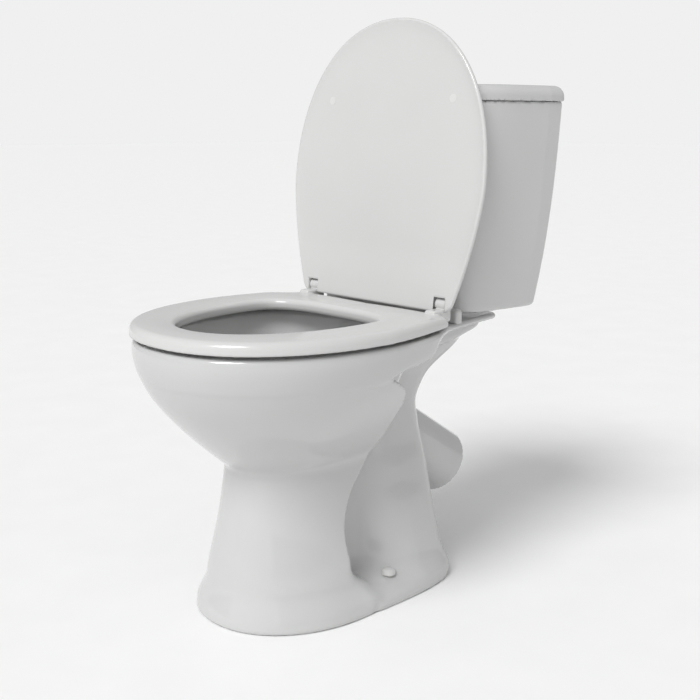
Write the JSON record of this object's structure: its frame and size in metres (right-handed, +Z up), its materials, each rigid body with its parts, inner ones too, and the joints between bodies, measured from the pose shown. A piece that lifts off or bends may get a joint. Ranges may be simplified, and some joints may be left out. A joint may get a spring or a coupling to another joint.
{
  "type": "close coupled toilet",
  "caption": "Close coupled toilet with an oblique rear outlet, a tapered D-shaped cistern, a dual flush button and a hinged seat with its lid raised.",
  "frame": {"origin": "on the floor, below the middle of the whole object's box", "axes": "+Z up, the bowl faces -Y, the cistern is at +Y, +X to the right seen from the front"},
  "size_m": [0.3813, 0.6002, 0.811],
  "materials": {
    "ceramic": "glossy white glaze",
    "seat_plastic": "gloss white",
    "buffer_rubber": "satin white",
    "steel": "brushed",
    "brass_bolt": "satin",
    "black_rubber": "matt",
    "nylon": "satin",
    "valve_plastic": "satin",
    "chrome_button": "polished"
  },
  "bodies": {
    "toilet": {"toilet_pan": "ceramic", "cistern_tank": "ceramic", "cistern_lid": "ceramic", "hinge_bar": "seat_plastic", "hinge_pins": "steel", "seat_bolts": "steel", "seat_bolt_cones": "black_rubber", "seat_wing_nuts": "nylon", "floor_screws": "steel", "floor_screw_sleeves": "nylon", "floor_screw_caps": "seat_plastic", "coupling_gasket": "black_rubber", "coupling_bolts": "brass_bolt", "coupling_rubber_washers": "black_rubber", "coupling_steel_washers": "steel", "coupling_wing_nuts": "brass_bolt", "flush_valve_gasket": "black_rubber", "flush_valve_nut": "nylon", "flush_valve_base": "valve_plastic", "flush_valve_tower": "valve_plastic", "flush_lever_pin": "steel", "button_bezel": "chrome_button", "button_clamp_nut": "nylon", "spring_full": "steel", "spring_half": "steel", "fill_valve_body": "valve_plastic", "fill_lever_pin": "steel", "fill_valve_washer": "black_rubber", "fill_valve_nut": "nylon"},
    "lid": {"seat_lid": "seat_plastic", "lid_buffers": "buffer_rubber"},
    "seat": {"seat_ring": "seat_plastic", "ring_buffers": "buffer_rubber"},
    "full_button": {"button_full": "chrome_button", "push_rod_full": "nylon"},
    "half_button": {"button_half": "chrome_button", "push_rod_half": "nylon"},
    "lever": {"flush_lever": "nylon"},
    "flush_tube": {"overflow_tube": "nylon", "flush_valve_seal": "black_rubber"},
    "float": {"fill_valve_float": "nylon"},
    "fill_arm": {"fill_valve_lever": "valve_plastic"}
  },
  "joints": [
    {"name": "lid_hinge", "type": "hinge", "parent": "toilet", "child": "lid", "pos_m": [0, 0.089, 0.42], "axis": [-1, 0, 0], "range_deg": [-95.7, 0]},
    {"name": "seat_hinge", "type": "hinge", "parent": "toilet", "child": "seat", "pos_m": [0, 0.089, 0.42], "axis": [-1, 0, 0], "range_deg": [0, 95]},
    {"name": "full_button_push", "type": "slide", "parent": "toilet", "child": "full_button", "axis": [0, 0, -1], "range_m": [0, 0.008], "stiffness_N_per_m": 150, "deforming": ["spring_full"]},
    {"name": "half_button_push", "type": "slide", "parent": "toilet", "child": "half_button", "axis": [0, 0, -1], "range_m": [0, 0.008], "stiffness_N_per_m": 150, "deforming": ["spring_half"]},
    {"name": "lever_turn", "type": "hinge", "parent": "toilet", "child": "lever", "pos_m": [0.013, 0.203, 0.612], "axis": [-1, 0, 0], "range_deg": [0, 36.2]},
    {"name": "tube_lift", "type": "slide", "parent": "toilet", "child": "flush_tube", "axis": [0, 0, 1], "range_m": [0, 0.0091]},
    {"name": "float_slide", "type": "slide", "parent": "toilet", "child": "float", "axis": [0, 0, 1], "range_m": [-0.012, 0]},
    {"name": "fill_arm_turn", "type": "hinge", "parent": "toilet", "child": "fill_arm", "pos_m": [-0.0625, 0.255, 0.6315], "axis": [0, 1, 0], "range_deg": [0, 28.7]}
  ],
  "couplings": [
    {"joint": "lever_turn", "follows": "full_button_push", "rad_per_m": 78.5},
    {"joint": "tube_lift", "follows": "full_button_push", "ratio": 1.125},
    {"joint": "fill_arm_turn", "follows": "float_slide", "rad_per_m": -41.6}
  ]
}
